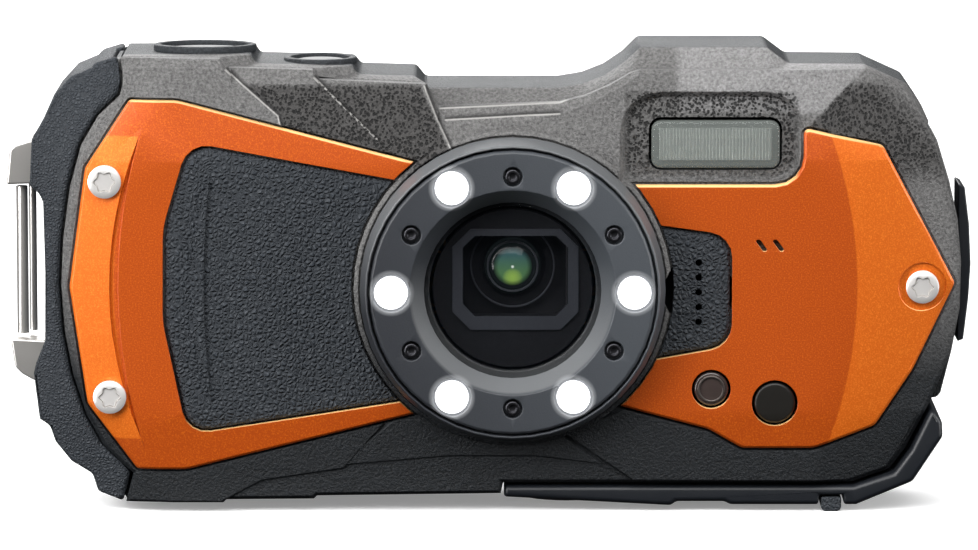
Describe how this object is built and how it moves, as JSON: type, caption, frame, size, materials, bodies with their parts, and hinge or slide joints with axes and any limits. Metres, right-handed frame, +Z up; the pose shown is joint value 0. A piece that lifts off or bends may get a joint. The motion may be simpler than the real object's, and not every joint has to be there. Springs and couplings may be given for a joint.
{
  "type": "action camera",
  "caption": "Rugged waterproof compact camera with a lamp ring round the lens, a flash, a side battery door, top and back buttons and a strap lug.",
  "frame": {"origin": "centre of the bounding box's base, which is the rubber foot's lowest face", "axes": "+X from the grip end with the strap lug towards the battery door end, +Y from the lens to the display, +Z up"},
  "size_m": [0.1234, 0.0296, 0.0593],
  "materials": {
    "textured_plastic": "moulded, fine sandy grain",
    "smooth_plastic": "moulded, satin",
    "slate_rubber": "leather grain on the pads, fine grain elsewhere",
    "orange_paint": "pearl orange paint, semi-gloss",
    "bright_steel": "bright",
    "satin_black": "satin",
    "lamp_lens": "frosted, lit",
    "dark_steel": "blackened",
    "dark_glass": "gloss, coated",
    "clear_plastic": "clear, ribbed behind",
    "tube_glass": "clear",
    "chrome": "polished",
    "battery_case": "satin",
    "circuit_board": "green board",
    "brass": "machined"
  },
  "bodies": {
    "camera_body": {"front_shell": "textured_plastic", "rear_shell": "textured_plastic", "base_cover": "smooth_plastic", "base_foot": "slate_rubber", "side_bumper": "slate_rubber", "grip_pad": "slate_rubber", "speaker_pad": "slate_rubber", "faceplate_left": "orange_paint", "faceplate_right": "orange_paint", "face_screw_1": "bright_steel", "face_screw_2": "bright_steel", "face_screw_3": "bright_steel", "lens_ring": "satin_black", "light_cover": "satin_black", "lens_hood": "satin_black", "lens_block": "satin_black", "display_panel": "satin_black", "ring_led_1": "lamp_lens", "ring_led_2": "lamp_lens", "ring_led_3": "lamp_lens", "ring_led_4": "lamp_lens", "ring_led_5": "lamp_lens", "ring_led_6": "lamp_lens", "ring_screw_1": "dark_steel", "ring_screw_2": "dark_steel", "ring_screw_3": "dark_steel", "ring_screw_4": "dark_steel", "ring_screw_5": "dark_steel", "ring_screw_6": "dark_steel", "lens_window": "dark_glass", "front_element": "dark_glass", "display_glass": "dark_glass", "timer_lamp": "dark_glass", "remote_window": "dark_glass", "flash_window": "clear_plastic", "flash_tube": "tube_glass", "flash_reflector": "chrome", "strap_bracket_upper": "chrome", "strap_bracket_lower": "chrome", "strap_bar_front": "chrome", "strap_bar_rear": "chrome", "battery": "battery_case", "memory_card": "battery_case", "main_board": "circuit_board", "tripod_socket": "brass"},
    "shutter_button": {"shutter_button": "smooth_plastic"},
    "power_button": {"power_button": "smooth_plastic"},
    "zoom_rocker": {"zoom_rocker": "smooth_plastic"},
    "play_button": {"play_button": "smooth_plastic"},
    "movie_button": {"movie_button": "smooth_plastic"},
    "menu_button": {"menu_button": "smooth_plastic"},
    "delete_button": {"delete_button": "smooth_plastic"},
    "key_up": {"key_up": "smooth_plastic"},
    "key_down": {"key_down": "smooth_plastic"},
    "key_left": {"key_left": "smooth_plastic"},
    "key_right": {"key_right": "smooth_plastic"},
    "ok_button": {"ok_button": "smooth_plastic"},
    "battery_door": {"battery_door": "textured_plastic", "door_gasket": "slate_rubber"},
    "door_latch": {"door_latch": "smooth_plastic"}
  },
  "joints": [
    {"name": "shutter_press", "type": "slide", "parent": "camera_body", "child": "shutter_button", "axis": [0, 0, -1], "range_m": [0, 0.0008], "stiffness_N_per_m": 1200},
    {"name": "power_press", "type": "slide", "parent": "camera_body", "child": "power_button", "axis": [0, 0, -1], "range_m": [0, 0.0005], "stiffness_N_per_m": 1600},
    {"name": "play_press", "type": "slide", "parent": "camera_body", "child": "play_button", "axis": [0, -1, 0], "range_m": [0, 0.0004], "stiffness_N_per_m": 1800},
    {"name": "movie_press", "type": "slide", "parent": "camera_body", "child": "movie_button", "axis": [0, -1, 0], "range_m": [0, 0.0004], "stiffness_N_per_m": 1800},
    {"name": "menu_press", "type": "slide", "parent": "camera_body", "child": "menu_button", "axis": [0, -1, 0], "range_m": [0, 0.0004], "stiffness_N_per_m": 1800},
    {"name": "delete_press", "type": "slide", "parent": "camera_body", "child": "delete_button", "axis": [0, -1, 0], "range_m": [0, 0.0004], "stiffness_N_per_m": 1800},
    {"name": "ok_press", "type": "slide", "parent": "camera_body", "child": "ok_button", "axis": [0, -1, 0], "range_m": [0, 0.0004], "stiffness_N_per_m": 1800},
    {"name": "key_up_press", "type": "slide", "parent": "camera_body", "child": "key_up", "axis": [0, -1, 0], "range_m": [0, 0.0004], "stiffness_N_per_m": 1800},
    {"name": "key_down_press", "type": "slide", "parent": "camera_body", "child": "key_down", "axis": [0, -1, 0], "range_m": [0, 0.0004], "stiffness_N_per_m": 1800},
    {"name": "key_left_press", "type": "slide", "parent": "camera_body", "child": "key_left", "axis": [0, -1, 0], "range_m": [0, 0.0004], "stiffness_N_per_m": 1800},
    {"name": "key_right_press", "type": "slide", "parent": "camera_body", "child": "key_right", "axis": [0, -1, 0], "range_m": [0, 0.0004], "stiffness_N_per_m": 1800},
    {"name": "zoom_tilt", "type": "hinge", "parent": "camera_body", "child": "zoom_rocker", "pos_m": [-0.0331, 0.0117, 0.0498], "axis": [0, 0, 1], "range_deg": [-4, 4], "stiffness_Nm_per_rad": 0.07},
    {"name": "door_hinge", "type": "hinge", "parent": "camera_body", "child": "battery_door", "pos_m": [0.0569, 0.00255, 0.0152], "axis": [0, 1, 0], "range_deg": [0, 95]},
    {"name": "latch_slide", "type": "slide", "parent": "battery_door", "child": "door_latch", "axis": [0, 1, 0], "range_m": [0, 0.003]}
  ]
}
